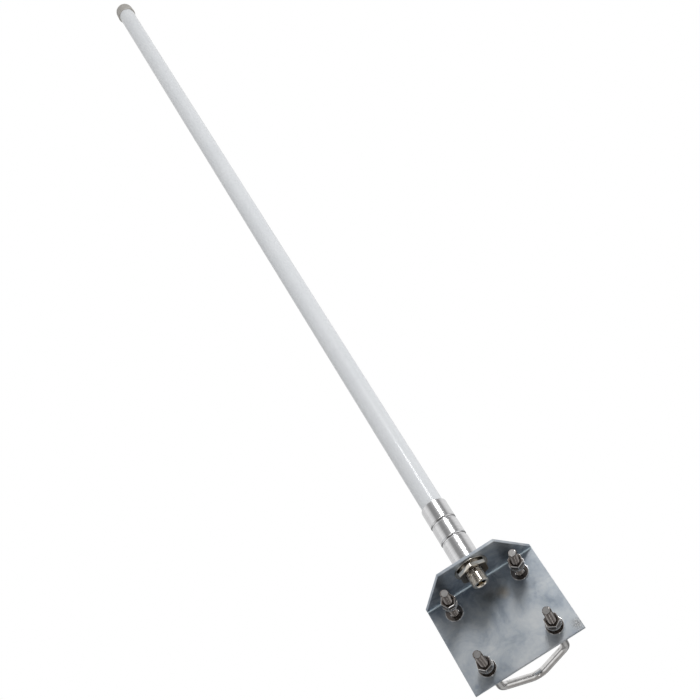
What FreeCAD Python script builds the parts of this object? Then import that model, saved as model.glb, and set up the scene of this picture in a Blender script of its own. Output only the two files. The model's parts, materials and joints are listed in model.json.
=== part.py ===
import FreeCAD, Part
import math
import os
import Sketcher

# Omnidirectional collinear antenna on an L bracket with two V-bolts.
# Frame: origin at the centre of the RF connector's open end, +Z along the antenna towards its
# tip, +Y towards the mast, X across the bracket. Millimetres.

DIMENSIONS = {
    # L bracket: the plate stands in XZ, the flange lies in XY at its top
    "plate_width": 113.0,
    "plate_height": 90.0,
    "sheet": 3.0,
    "bend_radius": 1.5,
    "flange_depth": 50.5,
    "flange_front_width": 59.0,
    "axis_to_plate": 32.4,
    "connector_reach": 19.5,
    "flange_hole": 16.4,
    "bolt_hole": 9.0,
    "leg_spacing": 70.0,
    "leg_row_spacing": 60.0,
    "upper_leg_drop": 14.5,
    # radome, cap and ferrule
    "overall_length": 1088.0,
    "tube_diameter": 22.0,
    "tube_wall": 2.0,
    "bond_gap": 0.1,
    "cap_diameter": 24.6,
    "cap_skirt": 12.0,
    "cap_dome": 8.0,
    "cap_dome_radius": 7.5,
    "cap_lip": 0.5,
    "cap_foot_bevel": 1.2,
    "ferrule_diameter": 26.0,
    "ferrule_length": 68.5,
    "ferrule_floor": 12.0,
    "ferrule_edge": 0.6,
    "groove_low": 27.0,
    "groove_high": 47.0,
    "groove_radius": 2.3,
    "groove_depth": 1.1,
    # RF connector and the hardware that clamps it to the flange
    "thread_diameter": 15.875,
    "relief_diameter": 14.6,
    "mating_thread": 9.0,
    "relief_width": 1.4,
    "shoulder_diameter": 20.0,
    "shoulder_height": 2.6,
    "socket_diameter": 8.4,
    "socket_depth": 9.4,
    "socket_lead": 1.3,
    "socket_bevel": 1.0,
    "contact_recess": 5.2,
    "contact_diameter": 3.0,
    "contact_bore": 1.7,
    "contact_bore_depth": 6.0,
    "contact_tail": 3.0,
    "insulator_step": 0.4,
    "seal_section": 1.6,
    "flat_washer_diameter": 33.0,
    "flat_washer_thickness": 1.5,
    "lock_washer_diameter": 24.0,
    "lock_washer_thickness": 1.8,
    "connector_nut_flats": 27.0,
    "connector_nut_thickness": 3.7,
    "connector_nut_turn": 29.0,
    "washer_play": 0.25,
    # V-bolts: M8 rod
    "rod_diameter": 8.0,
    "leg_length": 95.0,
    "vee_angle": 38.0,
    "corner_radius": 11.0,
    "apex_radius": 14.0,
    "rod_chamfer": 0.4,
    "upper_stud_length": 44.0,
    "lower_stud_length": 39.0,
    "upper_lean": 3.5,
    "lower_lean": 0.0,
    # M8 nuts and washers on the legs
    "nut_flats": 13.0,
    "nut_thickness": 6.5,
    "nut_bore_play": 0.06,
    "upper_nut_height": 28.0,
    "lower_nut_height": 15.5,
    "spring_washer_diameter": 14.6,
    "spring_washer_thickness": 2.1,
    "spring_washer_split": 1.2,
    "plate_washer_diameter": 17.0,
    "plate_washer_thickness": 1.6,
    "plate_washer_bore": 8.8,
    "upper_left_turn": 0.0,
    "upper_right_turn": 23.0,
    "lower_left_turn": 17.0,
    "lower_right_turn": 30.0,
    # radiator inside the tube
    "coax_diameter": 3.6,
    "sleeve_diameter": 12.0,
    "sleeve_wall": 0.8,
    "sleeve_length": 80.0,
    "sleeve_bottom": 70.0,
    "rod_size": 4.0,
    "radiator_length": 160.0,
    "coil_height": 22.0,
    "coil_turns": 3.0,
    "coil_pitch": 5.0,
    "coil_radius": 5.0,
    "coil_wire": 1.6,
    "spacer_thickness": 12.0,
    "plug_length": 22.0,
    "plug_gap": 2.0,
    # how far an outline that cuts runs past the material
    "cut_margin": 1.0,
}
RADIATOR_COUNT = 5
TOLERANCE = 0.01
ROUGH_OUTLINE_RADIUS = 10

doc = FreeCAD.newDocument("antenna")
sheet = doc.addObject("Spreadsheet::Sheet", "sizes")
for row, (alias, value) in enumerate(DIMENSIONS.items(), start=1):
    sheet.set(f"A{row}", alias)
    sheet.set(f"B{row}", str(value))
    sheet.setAlias(f"B{row}", alias)
doc.recompute()

nodes = []


def new_body(name, x="0", y="0", z="0", turn=None):
    """Empty body with its label and its place in the object's frame."""
    body = doc.addObject("PartDesign::Body", name)
    body.Label = name
    if turn:
        body.Placement = FreeCAD.Placement(FreeCAD.Vector(), turn)
    for axis, expression in zip("xyz", (x, y, z)):
        body.setExpression(f"Placement.Base.{axis}", expression)
    nodes.append(body)
    return body


def turned_about(x, y, z, angle):
    """Rotation about a direction, by an angle in degrees given as an expression."""
    return FreeCAD.Rotation(FreeCAD.Vector(x, y, z), float(sheet.evalExpression(angle)))


def new_sketch(body, name, role):
    """Sketch on one of the body's own origin planes."""
    sketch = body.newObject("Sketcher::SketchObject", name)
    plane = next(item for item in body.Origin.OriginFeatures if item.Role == role)
    sketch.AttachmentSupport = [(plane, "")]
    sketch.MapMode = "FlatFace"
    return sketch


def drive(sketch, kind, *arguments, expression):
    """Dimension in a sketch that follows an expression."""
    amount = float(sketch.evalExpression(expression))
    if kind == "Angle":
        amount = math.radians(amount)
    index = sketch.addConstraint(Sketcher.Constraint(kind, *arguments, amount))
    sketch.setExpression(f"Constraints[{index}]", expression)


def add_outline(sketch, points):
    """Closed outline whose corners start on a rough circle and then follow pairs of expressions."""
    first = sketch.GeometryCount
    count = len(points)
    angles = [2 * math.pi * k / count for k in range(count)]
    rough = [FreeCAD.Vector(2 + math.cos(a), math.sin(a), 0) * ROUGH_OUTLINE_RADIUS for a in angles]
    for k in range(count):
        sketch.addGeometry(Part.LineSegment(rough[k], rough[(k + 1) % count]), False)
    for k in range(count):
        following = first + (k + 1) % count
        sketch.addConstraint(Sketcher.Constraint("Coincident", first + k, 2, following, 1))
    for k, (across, up) in enumerate(points):
        drive(sketch, "DistanceX", -1, 1, first + k, 1, expression=across)
        drive(sketch, "DistanceY", -1, 1, first + k, 1, expression=up)


def add_circle(sketch, across, up, radius):
    """Circle whose centre and radius follow expressions."""
    index = sketch.addGeometry(Part.Circle(FreeCAD.Vector(1, 1, 0), FreeCAD.Vector(0, 0, 1), 1), False)
    drive(sketch, "DistanceX", -1, 1, index, 3, expression=across)
    drive(sketch, "DistanceY", -1, 1, index, 3, expression=up)
    drive(sketch, "Radius", index, expression=radius)


def revolve(body, points):
    """Solid of revolution about the body's Z axis."""
    sketch = new_sketch(body, f"{body.Name}_profile", "XZ_Plane")
    add_outline(sketch, points)
    feature = body.newObject("PartDesign::Revolution", f"{body.Name}_turned")
    feature.Profile = sketch
    feature.ReferenceAxis = (sketch, ["V_Axis"])
    feature.Angle = 360
    doc.recompute()
    return feature


def ring(name, inner, outer, thickness, **place):
    """Flat ring, its lower face at the body's origin."""
    body = new_body(name, **place)
    revolve(body, [(inner, "0"), (outer, "0"), (outer, thickness), (inner, thickness)])
    return body


def pad(body, sketch, length):
    """Pad along the sketch's normal."""
    feature = body.newObject("PartDesign::Pad", f"{sketch.Name}_pad")
    feature.Profile = sketch
    feature.setExpression("Length", length)
    doc.recompute()
    return feature


def remove(body, sketch, feature):
    """Finish a pocket or groove, and make sure that it takes material away."""
    before = body.Shape.Volume
    feature.Profile = sketch
    doc.recompute()
    if not body.Shape.Volume < before - TOLERANCE:
        raise RuntimeError(f"{feature.Name} cuts nothing")


def pocket(body, sketch, reversed_direction):
    """Cut right through along the sketch's normal."""
    feature = body.newObject("PartDesign::Pocket", f"{sketch.Name}_pocket")
    feature.Type = "ThroughAll"
    feature.Reversed = reversed_direction
    remove(body, sketch, feature)


def groove(body, sketch):
    """Turned groove about the body's Z axis."""
    feature = body.newObject("PartDesign::Groove", f"{sketch.Name}_groove")
    feature.ReferenceAxis = (sketch, ["V_Axis"])
    feature.Angle = 360
    remove(body, sketch, feature)


def dress(body, kind, base, property_name, expression, chosen):
    """Fillet or chamfer on the edges of base that the test chosen picks."""
    names = [f"Edge{k}" for k, edge in enumerate(base.Shape.Edges, start=1) if chosen(edge)]
    feature = body.newObject(f"PartDesign::{kind}", f"{base.Name}_{kind.lower()}_{len(body.Group)}")
    feature.Base = (base, names)
    feature.setExpression(property_name, expression)
    doc.recompute()
    return feature


def mounting_bracket():
    """L bracket of sheet steel: plate below, trapezoid flange towards -Y, five holes."""
    body = new_body("mounting_bracket", x="-sizes.plate_width / 2", z="sizes.connector_reach")
    front = "sizes.axis_to_plate - sizes.flange_depth"
    face = "sizes.axis_to_plate"
    back = "sizes.axis_to_plate + sizes.sheet"
    bottom = "-sizes.plate_height"
    section = new_sketch(body, "bracket_section", "YZ_Plane")
    top = "sizes.sheet"
    corners = [(front, "0"), (face, "0"), (face, bottom), (back, bottom), (back, top), (front, top)]
    add_outline(section, corners)
    blank = pad(body, section, "sizes.plate_width")

    def along_bend(y, z):
        def test(edge):
            middle = edge.CenterOfMass
            return abs(middle.y - y) < TOLERANCE and abs(middle.z - z) < TOLERANCE
        return test

    plate_face = DIMENSIONS["axis_to_plate"]
    thickness = DIMENSIONS["sheet"]
    bend = dress(body, "Fillet", blank, "Radius", "sizes.bend_radius", along_bend(plate_face, 0))
    outside = along_bend(plate_face + thickness, thickness)
    dress(body, "Fillet", bend, "Radius", "sizes.bend_radius + sizes.sheet", outside)

    corner = new_sketch(body, "flange_corners", "XY_Plane")
    inset = "(sizes.plate_width - sizes.flange_front_width) / 2"
    start = "sizes.axis_to_plate - sizes.bend_radius"
    past = f"{front} - sizes.cut_margin"
    left_past = "-sizes.cut_margin"
    add_outline(corner, [("0", start), (inset, front), (inset, past), (left_past, past), (left_past, start)])
    far = "sizes.plate_width"
    right = f"sizes.plate_width - {inset}"
    right_past = f"{far} + sizes.cut_margin"
    corners = [(far, start), (right_past, start), (right_past, past), (right, past), (right, front)]
    add_outline(corner, corners)
    pocket(body, corner, True)

    antenna_hole = new_sketch(body, "antenna_hole", "XY_Plane")
    add_circle(antenna_hole, "sizes.plate_width / 2", "0", "sizes.flange_hole / 2")
    pocket(body, antenna_hole, True)

    bolt_holes = new_sketch(body, "bolt_holes", "XZ_Plane")
    for side in ("-", "+"):
        for row_drop in ("0", "sizes.leg_row_spacing"):
            across = f"sizes.plate_width / 2 {side} sizes.leg_spacing / 2"
            add_circle(bolt_holes, across, f"-sizes.upper_leg_drop - {row_drop}", "sizes.bolt_hole / 2")
    pocket(body, bolt_holes, False)


def v_bolt(name, stud_length, leg_height, lean):
    """Rod bent to a shallow V between two long legs; the legs' free ends point to -Y."""
    across = f"{stud_length} * sin({lean})"
    depth = f"sizes.axis_to_plate - {stud_length} * cos({lean})"
    body = new_body(name, x=across, y=depth, z=leg_height, turn=turned_about(0, 0, 1, lean))
    half = DIMENSIONS["leg_spacing"] / 2
    corner = DIMENSIONS["corner_radius"]
    apex = DIMENSIONS["apex_radius"]
    slope = math.radians(DIMENSIONS["vee_angle"])
    turn = math.pi / 2 - slope
    leg_end = DIMENSIONS["leg_length"] - corner * math.tan(turn / 2)
    vertex = DIMENSIONS["leg_length"] + half * math.tan(slope)
    run_in = FreeCAD.Vector(apex * math.sin(slope), vertex - apex * math.tan(slope) * math.sin(slope), 0)
    rise = FreeCAD.Vector(half - corner * (1 - math.cos(turn)), leg_end + corner * math.sin(turn), 0)

    def flip(point):
        return FreeCAD.Vector(-point.x, point.y, 0)

    def arc(centre_x, centre_y, radius, start, end):
        circle = Part.Circle(FreeCAD.Vector(centre_x, centre_y, 0), FreeCAD.Vector(0, 0, 1), radius)
        return Part.ArcOfCircle(circle, start, end)

    path = new_sketch(body, f"{name}_path", "XY_Plane")
    path.addGeometry(Part.LineSegment(FreeCAD.Vector(-half, 0, 0), FreeCAD.Vector(-half, leg_end, 0)), False)
    path.addGeometry(arc(corner - half, leg_end, corner, math.pi - turn, math.pi), False)
    path.addGeometry(Part.LineSegment(flip(rise), flip(run_in)), False)
    path.addGeometry(arc(0, vertex - apex / math.cos(slope), apex, turn, math.pi - turn), False)
    path.addGeometry(Part.LineSegment(run_in, rise), False)
    path.addGeometry(arc(half - corner, leg_end, corner, 0, turn), False)
    path.addGeometry(Part.LineSegment(FreeCAD.Vector(half, 0, 0), FreeCAD.Vector(half, leg_end, 0)), False)
    joins = [(0, 2, 1, 2), (1, 1, 2, 1), (2, 2, 3, 2), (3, 1, 4, 1), (4, 2, 5, 2), (5, 1, 6, 2)]
    for join in joins:
        path.addConstraint(Sketcher.Constraint("Tangent", *join))
    for leg, side in ((0, "-"), (6, "")):
        path.addConstraint(Sketcher.Constraint("Vertical", leg))
        path.addConstraint(Sketcher.Constraint("PointOnObject", leg, 1, -1))
        drive(path, "DistanceX", -1, 1, leg, 1, expression=f"{side}sizes.leg_spacing / 2")
    drive(path, "Radius", 1, expression="sizes.corner_radius")
    drive(path, "Radius", 5, expression="sizes.corner_radius")
    drive(path, "Radius", 3, expression="sizes.apex_radius")
    path.addConstraint(Sketcher.Constraint("PointOnObject", 3, 3, -2))
    straight = "sizes.leg_length - sizes.corner_radius * tan((90 - sizes.vee_angle) / 2)"
    drive(path, "DistanceY", -1, 1, 0, 2, expression=straight)
    drive(path, "Angle", 2, expression="sizes.vee_angle")
    drive(path, "Angle", 4, expression="-sizes.vee_angle")

    section = new_sketch(body, f"{name}_section", "XZ_Plane")
    add_circle(section, "-sizes.leg_spacing / 2", "0", "sizes.rod_diameter / 2")
    rod = body.newObject("PartDesign::AdditivePipe", f"{name}_rod")
    rod.Profile = section
    rod.Spine = path
    doc.recompute()

    def at_tip(edge):
        return abs(edge.CenterOfMass.y) < TOLERANCE and edge.BoundBox.YLength < TOLERANCE

    dress(body, "Chamfer", rod, "Size", "sizes.rod_chamfer", at_tip)


def hex_nut(name, flats, thickness, bore, both_faces, **place):
    """Hexagon nut, its seating face at the body's origin, its corners cut at one or both faces."""
    body = new_body(name, **place)
    outline = new_sketch(body, f"{name}_outline", "XY_Plane")
    corner = f"{flats} / sqrt(3)"
    add_outline(outline, [(f"{corner} * cos({60 * k})", f"{corner} * sin({60 * k})") for k in range(6)])
    add_circle(outline, "0", "0", bore)
    pad(body, outline, thickness)
    corner_cut = new_sketch(body, f"{name}_corner_cut", "XZ_Plane")
    face = f"{flats} / 2"
    drop = f"{flats} / 2 * tan(30)"
    add_outline(corner_cut, [(face, thickness), (flats, thickness), (flats, f"{thickness} - {drop}")])
    if both_faces:
        add_outline(corner_cut, [(face, "0"), (flats, "0"), (flats, drop)])
    groove(body, corner_cut)
    return body


def split_ring(name, inner, outer, thickness, **place):
    """Spring washer: a ring with one narrow gap towards +X."""
    body = ring(name, inner, outer, thickness, **place)
    gap = new_sketch(body, f"{name}_gap", "XY_Plane")
    half = "sizes.spring_washer_split / 2"
    past = f"{outer} + sizes.cut_margin"
    add_outline(gap, [("0", f"-{half}"), (past, f"-{half}"), (past, half), ("0", half)])
    pocket(body, gap, True)
    return body


def base_ferrule():
    """Turned ferrule: tube socket above a floor, seat for the connector's shoulder below."""
    body = new_body("base_ferrule", z="sizes.connector_reach + sizes.sheet")
    outer = "sizes.ferrule_diameter / 2"
    edge = "sizes.ferrule_edge"
    length = "sizes.ferrule_length"
    socket = "sizes.tube_diameter / 2 + sizes.bond_gap"
    seat = "sizes.shoulder_diameter / 2 + sizes.bond_gap"
    seat_depth = "sizes.shoulder_height + sizes.seal_section"
    shank = "sizes.thread_diameter / 2 + sizes.bond_gap"
    revolve(body, [
        (seat, "0"), (f"{outer} - {edge}", "0"), (outer, edge), (outer, f"{length} - {edge}"),
        (f"{outer} - {edge}", length), (socket, length), (socket, "sizes.ferrule_floor"),
        (shank, "sizes.ferrule_floor"), (shank, seat_depth), (seat, seat_depth),
    ])
    rings = new_sketch(body, "ferrule_rings", "XZ_Plane")
    centre = "sizes.ferrule_diameter / 2 + sizes.groove_radius - sizes.groove_depth"
    for height in ("sizes.groove_low", "sizes.groove_high"):
        add_circle(rings, centre, height, "sizes.groove_radius")
    groove(body, rings)


def connector():
    """N-female connector: threaded barrel, shoulder and shank, insulator and centre contact."""
    thread = "sizes.thread_diameter / 2"
    relief = "sizes.relief_diameter / 2"
    mating = "sizes.mating_thread"
    second = "sizes.mating_thread + sizes.relief_width"
    shoulder = "sizes.shoulder_diameter / 2"
    shoulder_low = "sizes.connector_reach + sizes.sheet"
    shoulder_high = f"{shoulder_low} + sizes.shoulder_height"
    top = f"{shoulder_low} + sizes.ferrule_floor"
    socket = "sizes.socket_diameter / 2"
    bore = "sizes.socket_diameter / 2 - sizes.insulator_step - sizes.bond_gap"
    revolve(new_body("connector_body"), [
        (f"{socket} + sizes.socket_bevel", "0"), (thread, "0"), (thread, mating), (relief, mating),
        (relief, second), (thread, second), (thread, shoulder_low), (shoulder, shoulder_low),
        (shoulder, shoulder_high), (thread, shoulder_high), (thread, top), (bore, top),
        (bore, "sizes.socket_depth"), (socket, "sizes.socket_depth"), (socket, "sizes.socket_lead"),
    ])
    contact = "sizes.contact_diameter / 2"
    face = "sizes.socket_depth + sizes.bond_gap"
    rim = f"{bore} - sizes.bond_gap"
    hole = f"{contact} + sizes.bond_gap / 2"
    revolve(new_body("connector_insulator"), [(hole, face), (rim, face), (rim, top), (hole, top)])
    pin_bore = "sizes.contact_bore / 2"
    recess = "sizes.contact_recess"
    bottom = f"{recess} + sizes.contact_bore_depth"
    tail = f"{top} + sizes.contact_tail"
    revolve(new_body("connector_contact"), [
        (pin_bore, recess), (contact, recess), (contact, tail), ("0", tail), ("0", bottom),
        (pin_bore, bottom),
    ])
    seal = doc.addObject("Part::Torus", "ferrule_seal_ring")
    seal.Label = "ferrule_seal_ring"
    seal.setExpression("Radius2", "sizes.seal_section / 2")
    seal.setExpression("Radius1", f"({thread} + {shoulder}) / 2")
    seal.setExpression("Placement.Base.z", f"{shoulder_high} + sizes.seal_section / 2")
    nodes.append(seal)


def connector_hardware():
    """Flat washer, lock washer and thin nut, stacked downwards from the flange's underside."""
    bore = "sizes.thread_diameter / 2 + sizes.washer_play"
    flat_low = "sizes.connector_reach - sizes.flat_washer_thickness"
    lock_low = f"{flat_low} - sizes.lock_washer_thickness"
    flat_edge = "sizes.flat_washer_diameter / 2"
    lock_edge = "sizes.lock_washer_diameter / 2"
    ring("connector_flat_washer", bore, flat_edge, "sizes.flat_washer_thickness", z=flat_low)
    split_ring("connector_lock_washer", bore, lock_edge, "sizes.lock_washer_thickness", z=lock_low)
    hex_nut(
        "connector_nut", "sizes.connector_nut_flats", "sizes.connector_nut_thickness",
        "sizes.thread_diameter / 2 + sizes.nut_bore_play", False, z=lock_low,
        turn=turned_about(1, 0, 0, "180") * turned_about(0, 0, 1, "sizes.connector_nut_turn"),
    )


def leg_hardware(name, side, height, nut_height, lean):
    """Plate washer on the plate, then spring washer and nut further out on the same leg."""
    facing = turned_about(1, 0, 0, "90")
    turned = turned_about(0, 0, 1, lean) * facing * turned_about(0, 0, 1, f"sizes.{name}_turn")
    leg = f"({side}sizes.leg_spacing / 2)"
    nut_seat = f"({nut_height} - sizes.nut_thickness)"
    washer_seat = f"({nut_seat} - sizes.spring_washer_thickness)"
    bore = "sizes.rod_diameter / 2 + sizes.nut_bore_play"

    def on_leg(distance):
        return {
            "x": f"{leg} * cos({lean}) + {distance} * sin({lean})",
            "y": f"sizes.axis_to_plate + {leg} * sin({lean}) - {distance} * cos({lean})",
            "z": height,
        }

    ring(
        f"{name}_plate_washer", "sizes.plate_washer_bore / 2", "sizes.plate_washer_diameter / 2",
        "sizes.plate_washer_thickness", turn=facing,
        x=f"{leg} / cos({lean})", y="sizes.axis_to_plate", z=height,
    )
    split_ring(
        f"{name}_spring_washer", bore, "sizes.spring_washer_diameter / 2",
        "sizes.spring_washer_thickness", turn=turned, **on_leg(washer_seat),
    )
    hex_nut(
        f"{name}_nut", "sizes.nut_flats", "sizes.nut_thickness", bore, True, turn=turned, **on_leg(nut_seat),
    )


def radome():
    """Fibreglass tube bonded into the ferrule, and the domed cap over its far end."""
    outer = "sizes.tube_diameter / 2"
    inner = "sizes.tube_diameter / 2 - sizes.tube_wall"
    tube_low = "sizes.connector_reach + sizes.sheet + sizes.ferrule_floor"
    tube_length = f"sizes.overall_length - sizes.cap_dome - ({tube_low})"
    ring("radome_tube", inner, outer, tube_length, z=tube_low)
    cap = new_body("radome_cap", z="sizes.overall_length - sizes.cap_dome - sizes.cap_skirt")
    bore = f"{outer} + sizes.bond_gap"
    wall = "sizes.cap_diameter / 2"
    lip = f"{wall} + sizes.cap_lip"
    top = "sizes.cap_skirt + sizes.cap_dome"
    shell = revolve(cap, [
        (bore, "0"), (f"{lip} - sizes.cap_foot_bevel", "0"), (lip, "sizes.cap_foot_bevel"),
        (wall, "sizes.cap_skirt"), (wall, top), ("0", top), ("0", "sizes.cap_skirt"),
        (bore, "sizes.cap_skirt"),
    ])
    height = DIMENSIONS["cap_skirt"] + DIMENSIONS["cap_dome"]

    def top_rim(edge):
        box = edge.BoundBox
        return abs(box.ZMin - height) < TOLERANCE and box.XLength > DIMENSIONS["tube_diameter"]

    dress(cap, "Fillet", shell, "Radius", "sizes.cap_dome_radius", top_rim)


def phasing_coil(name, low):
    """Coiled wire on short arms between two radiator rods."""
    lead = "(sizes.coil_height - sizes.coil_turns * sizes.coil_pitch) / 2"
    wire = "sizes.coil_wire / 2"
    path = doc.addObject("Part::Helix", f"{name}_path")
    path.setExpression("Pitch", "sizes.coil_pitch")
    path.setExpression("Height", "sizes.coil_turns * sizes.coil_pitch")
    path.setExpression("Radius", "sizes.coil_radius")
    path.setExpression("Placement.Base.z", f"{low} + {lead}")
    section = doc.addObject("Part::Circle", f"{name}_section")
    section.Placement = FreeCAD.Placement(FreeCAD.Vector(), FreeCAD.Rotation(FreeCAD.Vector(1, 0, 0), 90))
    section.setExpression("Radius", wire)
    section.setExpression("Placement.Base.x", "sizes.coil_radius")
    section.setExpression("Placement.Base.z", f"{low} + {lead}")
    doc.recompute()
    turns = doc.addObject("Part::Sweep", f"{name}_turns")
    turns.Sections = [section]
    turns.Spine = (path, [f"Edge{k}" for k in range(1, len(path.Shape.Edges) + 1)])
    turns.Solid = True
    turns.Frenet = True
    pieces = [turns]
    top_arm = f"{low} + sizes.coil_height - {lead}"
    for end, arm_height, pin_low in (("low", f"{low} + {lead}", low), ("high", top_arm, top_arm)):
        arm = doc.addObject("Part::Cylinder", f"{name}_{end}_arm")
        arm.Placement = FreeCAD.Placement(FreeCAD.Vector(), FreeCAD.Rotation(FreeCAD.Vector(0, 1, 0), 90))
        arm.setExpression("Radius", wire)
        arm.setExpression("Height", "sizes.coil_radius")
        arm.setExpression("Placement.Base.z", arm_height)
        pin = doc.addObject("Part::Cylinder", f"{name}_{end}_pin")
        pin.setExpression("Radius", wire)
        pin.setExpression("Height", lead)
        pin.setExpression("Placement.Base.z", pin_low)
        pieces += [arm, pin]
    coil = doc.addObject("Part::MultiFuse", name)
    coil.Label = name
    coil.Shapes = pieces
    nodes.append(coil)


def radiator():
    """Feed, choke sleeve, rods with phasing coils between them, foam spacers and tip plug."""
    contact_top = "sizes.connector_reach + sizes.sheet + sizes.ferrule_floor + sizes.contact_tail"
    feed_top = "sizes.sleeve_bottom + sizes.sleeve_length"
    coax = "sizes.coax_diameter / 2"
    feed = f"{feed_top} - ({contact_top})"
    revolve(new_body("feed_coax", z=contact_top), [("0", "0"), (coax, "0"), (coax, feed), ("0", feed)])
    wall = "sizes.sleeve_wall"
    outer = "sizes.sleeve_diameter / 2"
    length = "sizes.sleeve_length"
    revolve(new_body("choke_sleeve", z="sizes.sleeve_bottom"), [
        (f"{outer} - {wall}", "0"), (outer, "0"), (outer, length), (f"{coax} + sizes.bond_gap", length),
        (f"{coax} + sizes.bond_gap", f"{length} - {wall}"), (f"{outer} - {wall}", f"{length} - {wall}"),
    ])
    rod = "sizes.rod_size / 2"
    step = "(sizes.radiator_length + sizes.coil_height)"
    foam_edge = "sizes.tube_diameter / 2 - sizes.tube_wall - sizes.bond_gap"
    for index in range(RADIATOR_COUNT):
        low = f"{feed_top} + {index} * {step}"
        rod_length = "sizes.radiator_length"
        radiator_rod = new_body(f"radiator_{index + 1}", z=low)
        revolve(radiator_rod, [("0", "0"), (rod, "0"), (rod, rod_length), ("0", rod_length)])
        middle = f"{low} + (sizes.radiator_length - sizes.spacer_thickness) / 2"
        foam_bore = f"{rod} + sizes.bond_gap"
        ring(f"foam_spacer_{index + 1}", foam_bore, foam_edge, "sizes.spacer_thickness", z=middle)
        if index:
            phasing_coil(f"phasing_coil_{index}", f"{low} - sizes.coil_height")
    plug_low = "sizes.overall_length - sizes.cap_dome - sizes.plug_gap - sizes.plug_length"
    plug = new_body("tip_plug", z=plug_low)
    length = "sizes.plug_length"
    revolve(plug, [("0", "0"), (foam_edge, "0"), (foam_edge, length), ("0", length)])


radome()
base_ferrule()
connector()
connector_hardware()
mounting_bracket()
UPPER_LEGS = "sizes.connector_reach - sizes.upper_leg_drop"
LOWER_LEGS = f"{UPPER_LEGS} - sizes.leg_row_spacing"
v_bolt("upper_v_bolt", "sizes.upper_stud_length", UPPER_LEGS, "sizes.upper_lean")
v_bolt("lower_v_bolt", "sizes.lower_stud_length", LOWER_LEGS, "sizes.lower_lean")
for side_name, side in (("left", "-"), ("right", "")):
    leg_hardware(f"upper_{side_name}", side, UPPER_LEGS, "sizes.upper_nut_height", "sizes.upper_lean")
    leg_hardware(f"lower_{side_name}", side, LOWER_LEGS, "sizes.lower_nut_height", "sizes.lower_lean")
radiator()
doc.recompute()

for item in doc.Objects:
    if "Invalid" in item.State or "Error" in item.State:
        raise RuntimeError(f"{item.Label} failed: {item.State}")
os.makedirs("parts", exist_ok=True)
for node in nodes:
    shape = node.Shape
    if shape.isNull() or not shape.isValid() or not shape.Solids:
        raise RuntimeError(f"{node.Label} has no valid solid")
    shape.exportStep(f"parts/{node.Label}.step")
    print(node.Label, round(shape.Volume, 1), len(shape.Solids))
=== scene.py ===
"""Omnidirectional antenna on its mast bracket: the visible pieces, their materials and a plain studio."""
import json
import math

import bmesh
import bpy
from mathutils import Matrix, Vector


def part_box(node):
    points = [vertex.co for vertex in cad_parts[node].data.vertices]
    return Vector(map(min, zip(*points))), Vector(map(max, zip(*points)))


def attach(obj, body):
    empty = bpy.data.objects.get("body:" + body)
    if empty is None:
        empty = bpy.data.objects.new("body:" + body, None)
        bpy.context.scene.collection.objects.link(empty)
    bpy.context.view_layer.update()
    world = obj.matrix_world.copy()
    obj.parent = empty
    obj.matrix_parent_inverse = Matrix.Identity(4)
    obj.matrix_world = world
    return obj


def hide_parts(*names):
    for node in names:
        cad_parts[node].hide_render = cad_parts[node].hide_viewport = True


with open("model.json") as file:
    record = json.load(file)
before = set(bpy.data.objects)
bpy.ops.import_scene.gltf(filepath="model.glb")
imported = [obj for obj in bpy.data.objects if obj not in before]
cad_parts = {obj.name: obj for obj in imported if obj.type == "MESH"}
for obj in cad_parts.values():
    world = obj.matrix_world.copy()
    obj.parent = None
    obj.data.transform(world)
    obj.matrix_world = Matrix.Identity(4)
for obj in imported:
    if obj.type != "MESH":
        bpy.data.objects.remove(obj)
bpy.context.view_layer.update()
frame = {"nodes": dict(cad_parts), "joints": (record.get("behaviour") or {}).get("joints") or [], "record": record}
nodes = frame["nodes"]
joints = {joint["name"]: joint for joint in frame["joints"]}
MM = 0.001
X, Y, Z = range(3)
ROOT = "antenna_and_bracket"


def extent(node, axis):
    """Lowest and highest place of a CAD node on an axis, in mm."""
    low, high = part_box(node)
    return low[axis] / MM, high[axis] / MM


# ---------------------------------------------------------------- dimensions, in mm

bracket_half_width = extent("mounting_bracket", X)[1]
flange_front, plate_back = extent("mounting_bracket", Y)
plate_bottom, flange_top = extent("mounting_bracket", Z)
SHEET = 3.0
plate_face = plate_back - SHEET
flange_under = flange_top - SHEET
BEND_RADIUS = 3.0                # at the middle of the sheet
SHEET_EDGE_ROUND = 0.3
FLANGE_FRONT_HALF = 29.5         # half the flange's short front edge
CONNECTOR_HOLE = 8.2             # radius
BOLT_HOLE = 4.5                  # radius
LEG_HEIGHTS = (5.0, -55.0)       # of the upper and the lower V-bolt
LEG_HALF = 35.0                  # half the distance between the legs of a V-bolt

ROD_RADIUS = 4.0
ROD_PITCH = 1.25
ROD_THREAD_DEPTH = 0.62
ROD_THREAD_LENGTH = 56.0
ROD_TIP_CHAMFER = 0.4
LEG_LENGTH = 95.0                # from the tips to the corners, before they are rounded
BOW_CORNER_RADIUS = 11.0
BOW_APEX_RADIUS = 14.0
BOW_SLOPE = math.radians(38)
NUT_FLATS = 13.0
NUT_TURNS = {"upper_left": 0, "upper_right": 23, "lower_left": 17, "lower_right": 30}
WASHER_BORE = 4.06               # radius of the nuts' and the spring washers' bores

THREAD_RADIUS = 7.9375           # crest of the connector's thread
THREAD_PITCH = 25.4 / 24
CONNECTOR_BORE = 8.1875          # radius of the connector's washers
CONNECTOR_FLATS = 27.0
CONNECTOR_NUT_TURN = 29
WASHER_THICKNESS = 1.5
LOCK_WASHER_THICKNESS = 1.8
CONNECTOR_NUT_THICKNESS = 3.7


# ---------------------------------------------------------------- material helpers

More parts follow.
